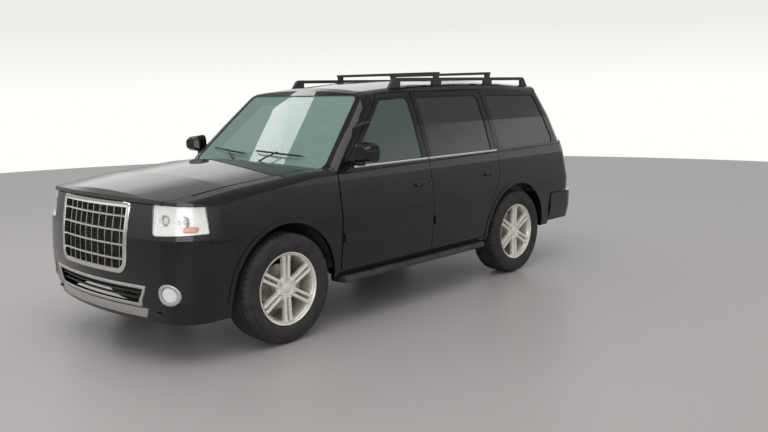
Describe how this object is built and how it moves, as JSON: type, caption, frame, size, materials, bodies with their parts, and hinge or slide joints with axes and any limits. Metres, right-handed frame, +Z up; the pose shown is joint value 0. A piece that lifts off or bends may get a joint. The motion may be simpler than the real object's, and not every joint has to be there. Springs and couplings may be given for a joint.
{
  "type": "sport utility vehicle",
  "caption": "Full-size body-on-frame sport utility vehicle with swinging side doors, lifting hood and tailgate, steered and rolling wheels, roof rack and hitch receiver.",
  "frame": {"origin": "on the ground under the middle of the vehicle's box, half way along its length and on its centre line", "axes": "+Z up, -Y towards the front of the vehicle, +X towards the vehicle's left side"},
  "size_m": [2.404, 5.13, 1.953],
  "materials": {
    "paint": "gloss black clear coat",
    "clear_glass": "lightly tinted, polished",
    "privacy_glass": "dark tint, polished",
    "chrome": "polished",
    "lamp_red": "moulded, glossy",
    "black_plastic": "grained",
    "cabin_plastic": "soft grained",
    "floor_paint": "sprayed underbody coat",
    "frame_paint": "waxed black",
    "cast_iron": "rough cast",
    "cast_aluminium": "rough cast",
    "wheel_alloy": "machined and lacquered",
    "tyre": "matt rubber",
    "seat_leather": "dark, lightly grained",
    "exhaust_steel": "dull, heat stained"
  },
  "bodies": {
    "root": {"body_side_left": "paint", "body_side_right": "paint", "chassis_frame": "frame_paint", "control_arms": "frame_paint", "cowl": "black_plastic", "dashboard": "cabin_plastic", "exhaust": "exhaust_steel", "fenders": "paint", "floor_pan": "floor_paint", "front_bumper": "paint", "fuel_tank": "black_plastic", "grille": "chrome", "head_lamps": "chrome", "inner_fenders": "black_plastic", "lamp_lenses": "clear_glass", "powertrain": "cast_aluminium", "quarter_glass": "privacy_glass", "radiator_support": "black_plastic", "rear_axle": "frame_paint", "rear_bumper": "paint", "roof_panel": "paint", "roof_rack": "black_plastic", "running_boards": "black_plastic", "seats": "seat_leather", "spare_wheel": "tyre", "tail_lamps": "lamp_red", "windscreen": "clear_glass"},
    "front_left_door": {"door_front_left": "paint", "door_glass_front_left": "clear_glass", "mirror_left": "paint"},
    "front_right_door": {"door_front_right": "paint", "door_glass_front_right": "clear_glass", "mirror_right": "paint"},
    "rear_left_door": {"door_rear_left": "paint", "door_glass_rear_left": "privacy_glass"},
    "rear_right_door": {"door_rear_right": "paint", "door_glass_rear_right": "privacy_glass"},
    "hood_lid": {"hood": "paint"},
    "liftgate_lid": {"liftgate": "paint", "liftgate_glass": "privacy_glass"},
    "left_steering": {"knuckle_left": "cast_iron"},
    "right_steering": {"knuckle_right": "cast_iron"},
    "steering_hub": {"steering_wheel": "cabin_plastic"},
    "front_left_wheel": {"wheel_front_left": "wheel_alloy", "tyre_front_left": "tyre"},
    "front_right_wheel": {"wheel_front_right": "wheel_alloy", "tyre_front_right": "tyre"},
    "rear_left_wheel": {"wheel_rear_left": "wheel_alloy", "tyre_rear_left": "tyre"},
    "rear_right_wheel": {"wheel_rear_right": "wheel_alloy", "tyre_rear_right": "tyre"}
  },
  "joints": [
    {"name": "steer_left", "type": "hinge", "parent": "root", "child": "left_steering", "pos_m": [0.83, -1.565, 0.405], "axis": [0, 0, 1], "range_deg": [-32, 32]},
    {"name": "steer_right", "type": "hinge", "parent": "root", "child": "right_steering", "pos_m": [-0.83, -1.565, 0.405], "axis": [0, 0, 1], "range_deg": [-32, 32]},
    {"name": "steering_wheel_turn", "type": "hinge", "parent": "root", "child": "steering_hub", "pos_m": [0.4, -0.63, 1.11], "axis": [0, 0.9063, 0.4226], "range_deg": [-480, 480]},
    {"name": "front_left_door_swing", "type": "hinge", "parent": "root", "child": "front_left_door", "pos_m": [1.002, -1.009, 0.9], "axis": [0, 0, -1], "range_deg": [0, 67]},
    {"name": "front_right_door_swing", "type": "hinge", "parent": "root", "child": "front_right_door", "pos_m": [-1.002, -1.009, 0.9], "axis": [0, 0, 1], "range_deg": [0, 67]},
    {"name": "rear_left_door_swing", "type": "hinge", "parent": "root", "child": "rear_left_door", "pos_m": [1.002, 0.084, 0.9], "axis": [0, 0, -1], "range_deg": [0, 67]},
    {"name": "rear_right_door_swing", "type": "hinge", "parent": "root", "child": "rear_right_door", "pos_m": [-1.002, 0.084, 0.9], "axis": [0, 0, 1], "range_deg": [0, 67]},
    {"name": "hood_lift", "type": "hinge", "parent": "root", "child": "hood_lid", "pos_m": [0, -1.125, 1.21], "axis": [-1, 0, 0], "range_deg": [0, 50]},
    {"name": "liftgate_lift", "type": "hinge", "parent": "root", "child": "liftgate_lid", "pos_m": [0, 2.143, 1.838], "axis": [1, 0, 0], "range_deg": [0, 85]},
    {"name": "front_left_roll", "type": "hinge", "parent": "left_steering", "child": "front_left_wheel", "pos_m": [0.866, -1.565, 0.405], "axis": [1, 0, 0], "continuous": true},
    {"name": "front_right_roll", "type": "hinge", "parent": "right_steering", "child": "front_right_wheel", "pos_m": [-0.866, -1.565, 0.405], "axis": [1, 0, 0], "continuous": true},
    {"name": "rear_left_roll", "type": "hinge", "parent": "root", "child": "rear_left_wheel", "pos_m": [0.858, 1.381, 0.405], "axis": [1, 0, 0], "continuous": true},
    {"name": "rear_right_roll", "type": "hinge", "parent": "root", "child": "rear_right_wheel", "pos_m": [-0.858, 1.381, 0.405], "axis": [1, 0, 0], "continuous": true}
  ],
  "couplings": [
    {"joint": "steer_right", "follows": "steer_left", "ratio": 1},
    {"joint": "steering_wheel_turn", "follows": "steer_left", "ratio": 15}
  ]
}
